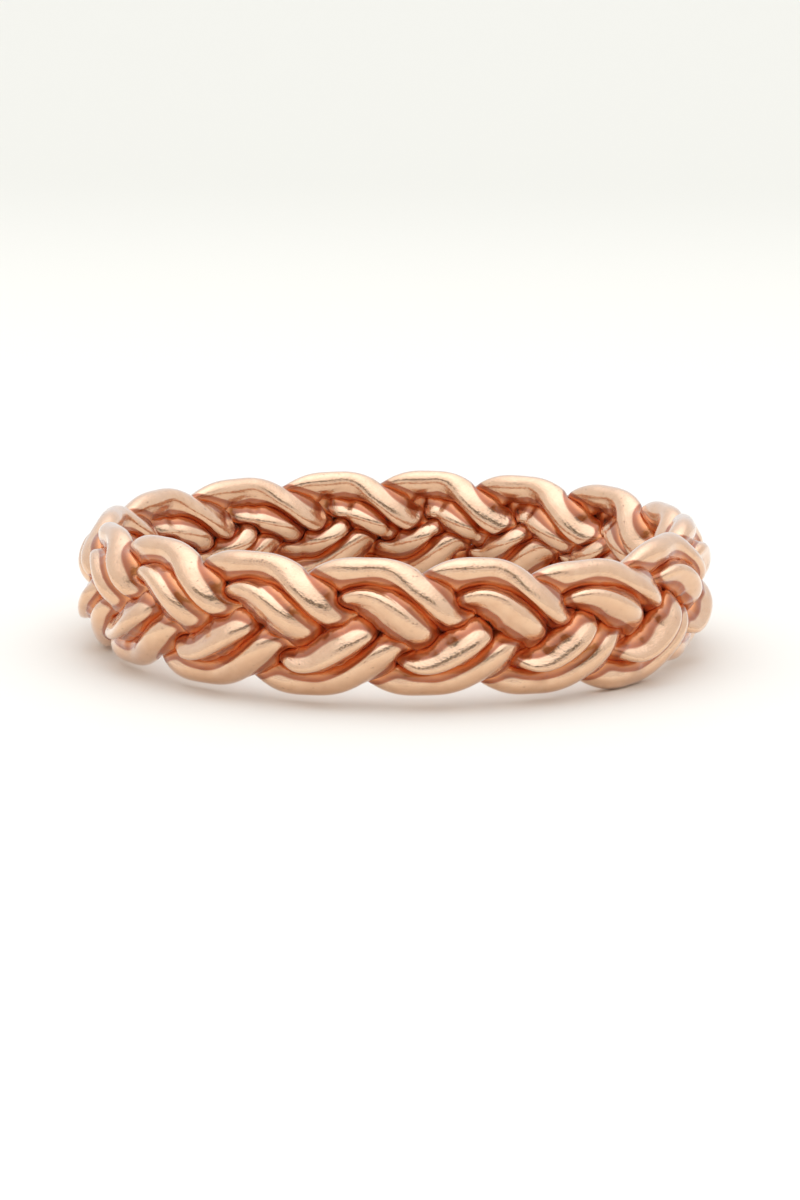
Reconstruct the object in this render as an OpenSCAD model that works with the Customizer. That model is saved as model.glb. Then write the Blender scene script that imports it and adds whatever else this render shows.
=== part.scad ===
// Braided bangle. Three strands are plaited flat and closed to a ring, and
// each strand is two foil-lined tubes that lie side by side.
// Millimetres. The ring lies on z = 0, its axis is the Z axis and its front
// faces -Y.

/* [Ring] */
// Radius of the ring, to the middle of the plait
ring_r = 35; // [30:0.5:40]
// Degrees that the whole plait is turned about the ring's axis
turn = -6.3; // [-22:0.1:22]
// Share of the hand-plaited unevenness that is kept
uneven = 1; // [0:0.1:1]

/* [Tubes] */
// Width of a tube, over its flattened section
tube_w = 2.86; // [2:0.02:3]
// Thickness of a tube, through its flattened section
tube_t = 2.36; // [1.6:0.02:2.6]

/* [Weave] */
// How far the middle of a tube's swing lies off the middle of the plait
swing_mid = 1.46; // [1:0.02:2]

/* [Join] */
// Where the plait is closed, in scallops from the front
join_at = 4.25; // [0.25:0.25:15.75]
// Gap between two tube ends that face each other
join_gap = 0.1; // [0.06:0.01:0.3]

/* [Facets] */
// Sides of a tube's section
sides = 10; // [10:2:16]
// Degrees of weave from one ring of the tube to the next
ring_step = 15; // [10:5:20]

/* [Hidden] */
// The wave that each tube follows, as terms of a sum. Along the ring and
// through its depth they are sines of the weave's phase, and across it cosines.
// columns: times the phase, along (mm), across (mm), depth (mm)
WAVE = [
    [1,  0.81,  4.80,  0.07],
    [2,  0.43,  0.09,  1.81],
    [3,  0.07, -0.03, -1.10],
    [4, -0.47,  0.00, -0.26],
];
TIMES = 0;
ALONG = 1;
ACROSS = 2;
DEPTH = 3;

// What the plaiting hand left uneven, a row for each scallop from the front
// columns: turned on (degrees), top edge out (mm), bottom edge out (mm)
SCALLOP = [
    [ 1.1,  0.7, -0.3],
    [-0.5,  0.7,  0.2],
    [-1.8, -0.5,  1.0],
    [ 1.0,  0.5,  0.0],
    [ 1.4,  0.7,  0.0],
    [-0.2,  0.1,  0.0],
    [-0.3,  0.3,  0.1],
    [ 0.7,  0.1,  0.9],
    [-0.9,  0.0,  0.1],
    [-2.3, -0.2,  0.0],
    [-2.1, -0.4,  0.0],
    [-0.4, -0.3,  0.0],
    [ 0.9, -0.4,  0.8],
    [ 0.6, -0.1,  0.3],
    [ 1.2,  0.6,  0.2],
    [ 1.8,  0.6,  0.1],
];
ON = 0;
TOP = 1;
BOTTOM = 2;

strands = 3;
// Each strand crests at an edge once in every three scallops
lobe_phase = 360 / strands;
lobes = len(SCALLOP);
lobe_a = 360 / lobes;
lobe_len = ring_r * lobe_a * PI / 180;
circuit = lobes * lobe_phase;
// The highest that a tube's middle swings, over the middle of the plait
swing_top = swing_mid + [for (w = WAVE) w[ACROSS]] * [for (w = WAVE) 1];
// The lowest scallop just touches z = 0, with one on each side next to it
mid_z = swing_top + tube_w / 2 + uneven * max([for (s = SCALLOP) s[BOTTOM]]);

COPPER = [0.72, 0.36, 0.22];
ROSE = [0.86, 0.55, 0.42];

// One column of the scallops' table, run smoothly through its rows
function run(col, u) =
    let (
        i = floor(u),
        f = u - i,
        t = [for (k = [i - 1 : i + 2]) uneven * SCALLOP[((k % lobes) + lobes) % lobes][col]],
        slope = t[2] - t[0],
        bend = 2 * t[0] - 5 * t[1] + 4 * t[2] - t[3],
        twist = 3 * (t[1] - t[2]) + t[3] - t[0]
    )
    t[1] + f * (slope + f * (bend + f * twist)) / 2;

function sines(col, p) =
    [for (w = WAVE) w[col]] * [for (w = WAVE) sin(w[TIMES] * p)];

function cosines(col, p) =
    [for (w = WAVE) w[col]] * [for (w = WAVE) cos(w[TIMES] * p)];

// The middle of a tube at phase p, 0 where it crests at its own edge. A lower
// tube is the upper one turned upside down and moved on by half a scallop.
function path(lower, first, p) =
    let (
        u = first + (lower ? 0.5 : 0) + p / lobe_phase + sines(ALONG, p) / lobe_len,
        v = (lower ? -1 : 1) * (swing_mid + cosines(ACROSS, p)),
        edge = sin(90 * v / swing_top),
        push = v > 0 ? edge * run(TOP, u) : edge * run(BOTTOM, u - 0.5),
        a = turn + lobe_a * u + run(ON, u),
        r = ring_r + sines(DEPTH, p)
    )
    [r * sin(a), -r * cos(a), mid_z + v + push];

function unit(v) = v / norm(v);

// The flattened section of a tube, its width lying in the ring's wall
function section(lower, first, p) =
    let (
        m = path(lower, first, p),
        along = unit(path(lower, first, p + 1) - path(lower, first, p - 1)),
        wide = unit(cross(along, [m[0], m[1], 0])),
        thick = cross(wide, along)
    )
    [for (k = [0 : sides - 1])
        m + tube_w / 2 * cos(360 * k / sides) * wide
          + tube_t / 2 * sin(360 * k / sides) * thick];

// One tube, once round the ring from the join to the join
module tube(lower, first) {
    start = lobe_phase * (join_at - first - (lower ? 0.5 : 0));
    pace = norm(path(lower, first, start + 0.5) - path(lower, first, start - 0.5));
    trim = join_gap / 2 / pace;
    steps = circuit / ring_step;
    phases = [for (k = [0 : steps])
        start + k * ring_step + (k == 0 ? trim : k == steps ? -trim : 0)];
    points = [for (p = phases) each section(lower, first, p)];
    skin = [for (i = [0 : steps - 1], k = [0 : sides - 1])
        let (n = (k + 1) % sides, a = i * sides, b = a + sides)
        each [[a + k, b + n, b + k], [a + k, a + n, b + n]]];
    polyhedron(points, concat(
        [[for (k = [sides - 1 : -1 : 0]) k]],
        skin,
        [[for (k = [0 : sides - 1]) steps * sides + k]]));
}

module strand_1_upper_tube() { color(ROSE) tube(false, 0); }
module strand_1_lower_tube() { color(COPPER) tube(true, 1); }
module strand_2_upper_tube() { color(ROSE) tube(false, 1); }
module strand_2_lower_tube() { color(COPPER) tube(true, 2); }
module strand_3_upper_tube() { color(ROSE) tube(false, 2); }
module strand_3_lower_tube() { color(COPPER) tube(true, 0); }

strand_1_upper_tube();
strand_1_lower_tube();
strand_2_upper_tube();
strand_2_lower_tube();
strand_3_upper_tube();
strand_3_lower_tube();
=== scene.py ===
import math

import bmesh
import bpy
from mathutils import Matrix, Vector
from mathutils.bvhtree import BVHTree


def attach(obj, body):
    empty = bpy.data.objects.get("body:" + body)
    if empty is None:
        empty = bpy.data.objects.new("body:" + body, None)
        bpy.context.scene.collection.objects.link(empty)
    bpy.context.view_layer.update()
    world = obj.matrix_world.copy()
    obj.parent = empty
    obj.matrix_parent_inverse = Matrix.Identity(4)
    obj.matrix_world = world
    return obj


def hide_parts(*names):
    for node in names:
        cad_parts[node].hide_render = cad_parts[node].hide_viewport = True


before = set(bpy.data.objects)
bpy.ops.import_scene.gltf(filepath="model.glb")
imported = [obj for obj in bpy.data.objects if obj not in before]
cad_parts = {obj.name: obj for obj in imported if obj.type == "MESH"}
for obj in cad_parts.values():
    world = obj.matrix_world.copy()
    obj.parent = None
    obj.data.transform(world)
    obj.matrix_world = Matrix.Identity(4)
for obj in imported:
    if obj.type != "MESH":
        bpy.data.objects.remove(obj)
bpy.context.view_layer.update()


# The plait
# Three strands are plaited flat by hand, each of two soft clear tubes that lie
# side by side. The plait has sixteen scallops on each edge and is closed to a
# stiff ring, tube end to tube end, on the right.
mm = 0.001
ring_radius = 34.95 * mm
turned = -6.3  # degrees
tube_width = 2.9 * mm
scallops = 16
scallop_angle = 360 / scallops
lobe = 120  # degrees of a tube's weave to each scallop, as three strands take turns
join = 4.25  # scallops from the front
end_gap = 0.2  # degrees of weave that each tube end stays short of the join
weave_rings = 768
ring_cuts = (7, 7, 11)  # cuts into 8 x 8 x 12 lengths, one for each ring of the weave
tube_sides = 32

# The numbers of the wave and of the scallops' rows are not designed by hand. A
# program outside this file fitted them to the photograph, and they are rounded.
# columns: times the phase, along, across, depth (mm)
wave = [
    (1, 0.53, 4.36, 0.06),
    (2, 0.17, 0.10, 1.50),
    (3, -0.14, 0.42, -0.91),
    (4, -0.22, -0.32, -0.22),
    (5, 0.01, -0.14, 0.00),
]
swing_middle = 1.73
swing_top = swing_middle + sum(across for _, _, across, _ in wave)

# columns: turned on (degrees), top edge out, bottom edge out (mm), how much
# thinner the tubes are drawn at the bottom edge (share)
scallop_rows = [
    (1.1, 0.7, -0.3, 0.0),
    (-0.5, 0.7, 0.2, 0.06),
    (-1.8, -0.5, 1.0, 0.0),
    (1.0, 0.5, 0.0, 0.0),
    (1.4, 0.7, 0.0, 0.0),
    (-0.2, 0.1, 0.0, 0.0),
    (-0.3, 0.3, 0.1, 0.0),
    (0.7, 0.1, 0.9, 0.0),
    (-0.9, 0.0, 0.1, 0.0),
    (-2.3, -0.2, 0.0, 0.0),
    (-2.1, -0.4, 0.0, 0.0),
    (-0.4, -0.3, 0.0, 0.0),
    (0.9, -0.4, 0.8, 0.0),
    (0.6, -0.1, 0.3, 0.0),
    (1.2, 0.6, 0.2, 0.0),
    (1.8, 0.6, 0.1, 0.0),
]
turned_on, top_out, bottom_out, drawn_thin = range(4)
# the lowest scallop touches the table
middle_height = swing_top + tube_width / mm / 2 + max(row[bottom_out] for row in scallop_rows)

# A tube comes up to the face of the plait early and full, and dives steeply
# under the next strand. Phases and widths in degrees of weave, heights in mm.
early_rise, rise_at, rise_width = 1.4, 170, 26
early_dive, dives_at, dive_width = 0.7, (88, 250), 16
# It comes up slanted, its inner side this many degrees ahead of its middle.
early_slant, slant_at, slant_width = 16, 165, 45
lean = 0.9, 0.3  # mm that the inner side stands out, of an upper and a lower tube
thin_below = 2  # mm under the plait's middle, where a thin tube is at its thinnest


def clamp(value, low, high):
    return max(low, min(high, value))


def hump(phase, at, width):
    """1 at one phase of the weave, and fading to 0 on both sides of it."""
    return math.exp(-(((phase % 360 - at) / width) ** 2))


def along_scallops(column, place):
    """One column of the scallops' rows, run smoothly from row to row."""
    row = math.floor(place)
    share = place - row
    a, b, c, d = (scallop_rows[(row + k) % scallops][column] for k in (-1, 0, 1, 2))
    bend = 2 * a - 5 * b + 4 * c - d + share * (3 * (b - c) + d - a)
    return b + share * (c - a + share * bend) / 2


def weave_depth(phase):
    """How far a tube lies outside the middle of the plait's wall, in mm."""
    depth = sum(a * math.sin(math.radians(n * phase)) for n, _, _, a in wave)
    rise = early_rise * hump(phase, rise_at, rise_width)
    dive = early_dive * sum(hump(phase, at, dive_width) for at in dives_at)
    return depth + rise - dive


def weave_point(lower, first, phase):
    """The middle of a tube at a phase of its weave, 0 where it crests at its own edge."""
    along = sum(a * math.sin(math.radians(n * phase)) for n, a, _, _ in wave)
    across = swing_middle + sum(a * math.cos(math.radians(n * phase)) for n, _, a, _ in wave)
    scallop_length = ring_radius / mm * math.radians(scallop_angle)
    place = first + phase / lobe + along / scallop_length
    height = -across if lower else across
    edge = math.sin(math.radians(90 * height / swing_top))
    if height > 0:
        height += edge * along_scallops(top_out, place)
    else:
        height += edge * along_scallops(bottom_out, place - 0.5)
    angle = math.radians(turned + scallop_angle * place + along_scallops(turned_on, place))
    radius = ring_radius + weave_depth(phase) * mm
    ground = radius * math.sin(angle), -radius * math.cos(angle)
    return Vector((*ground, (middle_height + height) * mm))


def lay_tube(node, lower, first):
    """A straight tube is made, then laid along its weave, once round the ring."""
    bpy.ops.object.select_all(action="DESELECT")
    bpy.ops.mesh.primitive_cylinder_add(
        vertices=tube_sides, radius=1, depth=1, location=(0, 0, 0.5)
    )
    bpy.ops.object.transform_apply(location=True)
    tube = bpy.context.object
    tube.name = tube.data.name = node.replace("tube", "foil_tube")
    bpy.ops.object.mode_set(mode="EDIT")
    bpy.ops.mesh.select_mode(type="EDGE")
    for cuts in ring_cuts:
        bpy.ops.mesh.select_all(action="DESELECT")
        edit = bmesh.from_edit_mesh(tube.data)
        for edge in edit.edges:
            edge.select = abs(edge.verts[0].co.z - edge.verts[1].co.z) > 1e-4
        bmesh.update_edit_mesh(tube.data)
        bpy.ops.mesh.subdivide(number_cuts=cuts)
    bpy.ops.object.mode_set(mode="OBJECT")

    # the weave's rings, each with its phase, middle, two directions across the
    # tube and the length of tube up to it
    start = lobe * (join - first)
    length = 0.0
    rings = []
    for ring in range(weave_rings + 1):
        phase = start + lobe * scallops * ring / weave_rings
        if ring in (0, weave_rings):
            phase += end_gap if ring == 0 else -end_gap
        middle = weave_point(lower, first, phase)
        before, after = weave_point(lower, first, phase - 1), weave_point(lower, first, phase + 1)
        ahead = (after - before).normalized()
        wide = ahead.cross(Vector((middle.x, middle.y, 0))).normalized()
        if rings:
            length += (middle - rings[-1][1]).length
        rings.append((phase, middle, wide, ahead.cross(wide), length))

    # each point keeps its place in the straight tube, for the foil's grain
    straight = tube.data.attributes.new("straight", "FLOAT_VECTOR", "POINT")
    rows = [[0] * tube_sides for _ in rings]
    for vertex in tube.data.vertices:
        ring = round(vertex.co.z * weave_rings)
        side = round(math.atan2(vertex.co.y, vertex.co.x) / math.tau * tube_sides) % tube_sides
        rows[ring][side] = vertex.index
        phase, middle, wide, thick, run = rings[ring]
        low_down = clamp((middle_height - middle.z / mm) / thin_below, 0, 1)
        thinner = low_down * max(0, along_scallops(drawn_thin, first + phase / lobe - 0.5))
        x, y = (value * (1 - thinner) * tube_width / 2 for value in vertex.co.xy)
        straight.data[vertex.index].vector = (x, y, run)
        # on both faces the side next to the middle of the plait stands out
        inner_side = vertex.co.x * (-1 if lower else 1)
        slant = early_slant * hump(phase, slant_at, slant_width) * inner_side
        leaning = lean[lower] * inner_side * clamp(weave_depth(phase), -1, 1)
        deeper = (weave_depth(phase + slant) - weave_depth(phase) + leaning) * mm
        outwards = Vector((middle.x, middle.y, 0)).normalized()
        vertex.co = middle + wide * x + thick * y + outwards * deeper
    bpy.ops.object.shade_smooth_by_angle(angle=math.radians(60))
    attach(tube, "root")
    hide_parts(node)
    return tube, rings, rows


laid = []
for strand in (1, 2, 3):
    laid.append(lay_tube(f"strand_{strand}_upper_tube", False, strand - 1))
    laid.append(lay_tube(f"strand_{strand}_lower_tube", True, strand % 3 + 0.5))
tubes = [tube for tube, _, _ in laid]

# The soft tubes fill the room between them. Where two face each other closely,
# both swell or are pressed in until they meet halfway, and less so at the face
# of the plait, where the grooves between them stay open.
reach = 2.0 * mm
open_room = 1.6 * mm
swell = 1.0 * mm
press = 0.4 * mm
rounds = 3
face_depth = 0.8  # mm off the middle of the wall, where a tube lies at one face
groove_at_face = 2.1  # how soon the swelling stops towards the face
groove_between = 1.0  # the same where a tube passes from one face to the other
swell_share = 1.05  # of the swelling, before the grooves take off their part
even_moves, even_rooms = 4, 12  # times


def rooms_around(tube, rings, rows):
    """How far each point of a tube lies from the tubes next to it, straight out."""
    points, faces = [], []
    for other in tubes:
        if other != tube:
            first = len(points)
            points += [vertex.co for vertex in other.data.vertices]
            walls = [face.vertices for face in other.data.polygons if len(face.vertices) == 4]
            faces += [[first + k for k in corners] for corners in walls]
    neighbours = BVHTree.FromPolygons(points, faces)
    rooms = []
    for (_, middle, *_), row in zip(rings, rows):
        outs = [tube.data.vertices[index].co - middle for index in row]
        far = [neighbours.ray_cast(middle, out.normalized(), out.length + reach)[3] for out in outs]
        rooms.append([reach if hit is None else hit - out.length for out, hit in zip(outs, far)])
    return rooms


def smoothed(values, times):
    """The values round each ring and along the tube, evened out with those next to them."""
    for _ in range(times):
        values = [
            [
                (2 * row[k] + row[k - 1] + row[(k + 1) % tube_sides] + before[k] + after[k]) / 6
                for k in range(tube_sides)
            ]
            for before, row, after in zip([values[0]] + values, values, values[1:] + [values[-1]])
        ]
    return values


def moves_to_neighbours(tube, rings, rows):
    """How far each point of a tube moves out from, or in to, the tube's middle."""
    moves = []
    for (phase, middle, *_), row, rooms in zip(rings, rows, rooms_around(tube, rings, rows)):
        face = Vector((middle.x, middle.y, 0)).normalized()
        depth = clamp(weave_depth(phase) / face_depth, -1, 1)
        moves.append([])
        for index, room in zip(row, rooms):
            move = 0.0 if room == reach else room / 2
            if move > 0:
                to_face = (tube.data.vertices[index].co - middle).normalized().dot(face)
                between = groove_between * abs(to_face) * (1 - abs(depth))
                open_groove = groove_at_face * to_face * depth + between
                move = min(swell, move) * clamp(swell_share - open_groove, 0, 1)
            moves[-1].append(max(-press, move))
    return smoothed(moves, even_moves)


for _ in range(rounds):
    for (tube, rings, rows), moves in zip(laid, [moves_to_neighbours(*one) for one in laid]):
        for (_, middle, *_), row, row_moves in zip(rings, rows, moves):
            for index, move in zip(row, row_moves):
                point = tube.data.vertices[index].co
                tube.data.vertices[index].co = point + (point - middle).normalized() * move

# Each point keeps its room to the next tube, in mm, for the painted shade and painted reflection in
# the foil's grooves below.
for tube, rings, rows in laid:
    kept_room = tube.data.attributes.new("room", "FLOAT", "POINT")
    near = [[min(open_room, room) for room in rooms] for rooms in rooms_around(tube, rings, rows)]
    for row, rooms in zip(rows, smoothed(near, even_rooms)):
        for index, room in zip(row, rooms):
            kept_room.data[index].value = room / mm


# The foil in the tubes
# Rose-gold metal leaf, crinkled and drawn into clear soft PVC tube, so that the
# eye sees warm metal with a fine grain and dark specks under a glossy skin.


def colour(hexed):
    """An sRGB hex value as linear colour with alpha."""
    parts = (int(hexed[i : i + 2], 16) / 255 for i in (1, 3, 5))
    return (*(p / 12.92 if p <= 0.04045 else ((p + 0.055) / 1.055) ** 2.4 for p in parts), 1)


def add(tree, kind, settings=None, links=None, **values):
    """A node with its settings, its sockets' values and the links into it."""
    node = tree.nodes.new(kind)
    for key, value in (settings or {}).items():
        setattr(node, key, value)
    for key, value in values.items():
        node.inputs[key.replace("_", " ")].default_value = value
    for key, source in (links or {}).items():
        tree.links.new(source, node.inputs[key])
    return node


rose_gold_foil = bpy.data.materials.new("rose_gold_leaf_in_clear_pvc_tube")
rose_gold_foil.use_nodes = True
foil = rose_gold_foil.node_tree
foil.nodes.clear()
surface = add(foil, "ShaderNodeOutputMaterial")
straight = add(foil, "ShaderNodeAttribute", {"attribute_name": "straight"}).outputs["Vector"]
# foil grain, about 0.25 mm
grain = add(foil, "ShaderNodeTexNoise", links={"Vector": straight}, Scale=3600.0, Detail=2.0)
# crinkles that run along the tube, 0.7 mm across and 6 mm long
drawn = add(foil, "ShaderNodeMapping", links={"Vector": straight}, Scale=(1.0, 1.0, 0.12))
crinkle = add(
    foil,
    "ShaderNodeTexNoise",
    links={"Vector": drawn.outputs["Vector"]},
    Scale=1400.0,
    Detail=3.0,
)
bump_fine = add(
    foil,
    "ShaderNodeBump",
    links={"Height": grain.outputs["Fac"]},
    Strength=0.5,
    Distance=0.08 * mm,
)
bump = add(
    foil,
    "ShaderNodeBump",
    links={"Height": crinkle.outputs["Fac"], "Normal": bump_fine.outputs["Normal"]},
    Strength=0.4,
    Distance=0.1 * mm,
)
# leaves of two shades, in patches of about 1 mm
patches = add(foil, "ShaderNodeTexNoise", links={"Vector": straight}, Scale=900.0, Detail=5.0)
leaves = add(
    foil,
    "ShaderNodeMix",
    {"data_type": "RGBA"},
    links={"Factor": patches.outputs["Fac"]},
    A=colour("#F0C8A3"),
    B=colour("#DBAA84"),
)
# pits where the leaf has cracked, 0.2 mm and brown
cracked = add(foil, "ShaderNodeTexNoise", links={"Vector": straight}, Scale=2200.0, Detail=3.0)
pits = add(
    foil,
    "ShaderNodeMapRange",
    links={"Value": cracked.outputs["Fac"]},
    From_Min=0.66,
    From_Max=0.76,
    To_Min=0.0,
    To_Max=0.7,
)
pitted = add(
    foil,
    "ShaderNodeMix",
    {"data_type": "RGBA"},
    links={"Factor": pits.outputs["Result"], "A": leaves.outputs["Result"]},
    B=colour("#8A5C3C"),
)
# where two tubes meet, painted shade and painted reflection: the foil is painted orange to
# red-brown there, where the eye looks sideways through their clear walls and sees the foil through
# several mirror images, redder each time
room = add(foil, "ShaderNodeAttribute", {"attribute_name": "room"}).outputs["Fac"]
painted_groove_mask = add(
    foil,
    "ShaderNodeMapRange",
    {"interpolation_type": "SMOOTHSTEP"},
    links={"Value": room},
    From_Min=1.3,
    From_Max=1.44,
    To_Min=1.0,
    To_Max=0.0,
)
wall = add(
    foil,
    "ShaderNodeMapRange",
    {"interpolation_type": "SMOOTHSTEP"},
    links={"Value": room},
    From_Min=0.7,
    From_Max=1.25,
)
# painted shade: orange closest to the next tube, darkest red-brown where the room opens out
walls = add(
    foil,
    "ShaderNodeMix",
    {"data_type": "RGBA"},
    links={"Factor": wall.outputs["Result"]},
    A=colour("#E29154"),
    B=colour("#A8582B"),
)
# the foil with the painted shade and painted reflection laid over it in the grooves
foil_with_painted_groove_shade = add(
    foil,
    "ShaderNodeMix",
    {"data_type": "RGBA"},
    links={
        "Factor": painted_groove_mask.outputs["Result"],
        "A": pitted.outputs["Result"],
        "B": walls.outputs["Result"],
    },
)
# the soft plastic between the eye and the foil blurs it more there
blurred = add(
    foil,
    "ShaderNodeMapRange",
    links={"Value": painted_groove_mask.outputs["Result"]},
    To_Min=0.16,
    To_Max=0.3,
)
shader = add(
    foil,
    "ShaderNodeBsdfPrincipled",
    links={
        "Base Color": foil_with_painted_groove_shade.outputs["Result"],
        "Roughness": blurred.outputs["Result"],
        "Normal": bump.outputs["Normal"],
    },
    Metallic=0.9,
    Coat_Weight=1.0,
    Coat_Roughness=0.1,
    Sheen_Weight=0.06,
    Sheen_Roughness=0.35,
    Sheen_Tint=colour("#F6DCE0"),
    Coat_IOR=1.6,
)
foil.links.new(shader.outputs["BSDF"], surface.inputs["Surface"])

for tube in tubes:
    tube.data.materials.clear()
    tube.data.materials.append(rose_gold_foil)


# The table
# A plain white table top, matt, that runs on far behind the bangle; its white is
# painted darker over the metre behind it, painted shade where it loses the light.
bpy.ops.object.select_all(action="DESELECT")
bpy.ops.mesh.primitive_plane_add(size=80, location=(0, 0, 0))
table = bpy.context.object
table.name = "white_table"
table_white = bpy.data.materials.new("white_table_top")
table_white.use_nodes = True
top = table_white.node_tree
on_table = add(top, "ShaderNodeTexCoord")
across_table = add(top, "ShaderNodeSeparateXYZ", links={"Vector": on_table.outputs["Object"]})
far = add(
    top,
    "ShaderNodeMapRange",
    {"interpolation_type": "SMOOTHSTEP"},
    links={"Value": across_table.outputs["Y"]},
    From_Min=-0.05,
    From_Max=0.95,
)
# painted shade: the table's white is painted darker towards the back
white_with_painted_falloff = add(
    top,
    "ShaderNodeMix",
    {"data_type": "RGBA"},
    links={"Factor": far.outputs["Result"]},
    A=colour("#F7F2E7"),
    B=colour("#E2DED2"),
)
matt = top.nodes["Principled BSDF"]
top.links.new(white_with_painted_falloff.outputs["Result"], matt.inputs["Base Color"])
matt.inputs["Roughness"].default_value = 0.7
matt.inputs["Specular IOR Level"].default_value = 0.2
table.data.materials.append(table_white)


# The studio's light
# Soft white light from all round, brighter and a little cooler overhead, as in
# a light tent, with one dark bar in it.
world = bpy.data.worlds.new("light_tent")
bpy.context.scene.world = world
world.use_nodes = True
tent = world.node_tree
tent.nodes.clear()
out = add(tent, "ShaderNodeOutputWorld")
direction = add(tent, "ShaderNodeTexCoord")
parts = add(tent, "ShaderNodeSeparateXYZ", links={"Vector": direction.outputs["Generated"]})
fade = add(tent, "ShaderNodeValToRGB", links={"Fac": parts.outputs["Z"]})
# columns: place from the table's level (0) to overhead (1), brightness
stops = [(0.0, 0.88), (0.5, 0.92), (0.62, 1.0), (0.74, 1.25), (0.9, 1.6), (1.0, 1.95)]
ramp = fade.color_ramp
while len(ramp.elements) < len(stops):
    ramp.elements.new(0.5)
for element, (place, light) in zip(ramp.elements, stops):
    element.position = place
    cool = max(0, place - 0.3)
    element.color = (light, light * (1 + 0.08 * cool), light * (1 + 0.22 * cool), 1)
# the dark bar that the camera and its arm leave in the light, high in front
bar_height = 0.54
above = add(tent, "ShaderNodeMath", {"operation": "SUBTRACT"}, links={0: parts.outputs["Z"]})
above.inputs[1].default_value = bar_height
off_bar = add(tent, "ShaderNodeMath", {"operation": "ABSOLUTE"}, links={0: above.outputs["Value"]})
bar = add(
    tent,
    "ShaderNodeMapRange",
    {"interpolation_type": "SMOOTHSTEP"},
    links={"Value": off_bar.outputs["Value"]},
    From_Min=0.06,
    From_Max=0.12,
    To_Min=1.0,
    To_Max=0.0,
)
in_front = add(
    tent,
    "ShaderNodeMapRange",
    {"interpolation_type": "SMOOTHSTEP"},
    links={"Value": parts.outputs["Y"]},
    From_Min=-0.65,
    From_Max=-0.4,
    To_Min=1.0,
    To_Max=0.0,
)
dark = add(
    tent,
    "ShaderNodeMath",
    {"operation": "MULTIPLY"},
    links={0: bar.outputs["Result"], 1: in_front.outputs["Result"]},
)
light_and_bar = add(
    tent,
    "ShaderNodeMix",
    {"data_type": "RGBA"},
    links={"Factor": dark.outputs["Value"], "A": fade.outputs["Color"]},
    B=colour("#3F3C35"),
)
background = add(
    tent, "ShaderNodeBackground", links={"Color": light_and_bar.outputs["Result"]}, Strength=1.0
)
tent.links.new(background.outputs["Background"], out.inputs["Surface"])

bpy.context.scene.view_settings.view_transform = "Standard"
bpy.context.scene.cycles.max_bounces = 16
bpy.context.scene.cycles.glossy_bounces = 12


# The camera
# A long lens, close in front and a little above the bangle, as the photograph
# was taken.
lens = bpy.data.cameras.new("camera")
lens.sensor_width = 36
lens.lens = 96.9
lens.clip_start, lens.clip_end = 0.01, 200
camera = bpy.data.objects.new("camera", lens)
bpy.context.scene.collection.objects.link(camera)
camera.location = (0, -0.3883, 0.0806)
camera.rotation_euler = [math.radians(angle) for angle in (79.042, -0.822, 0.061)]
bpy.context.scene.camera = camera
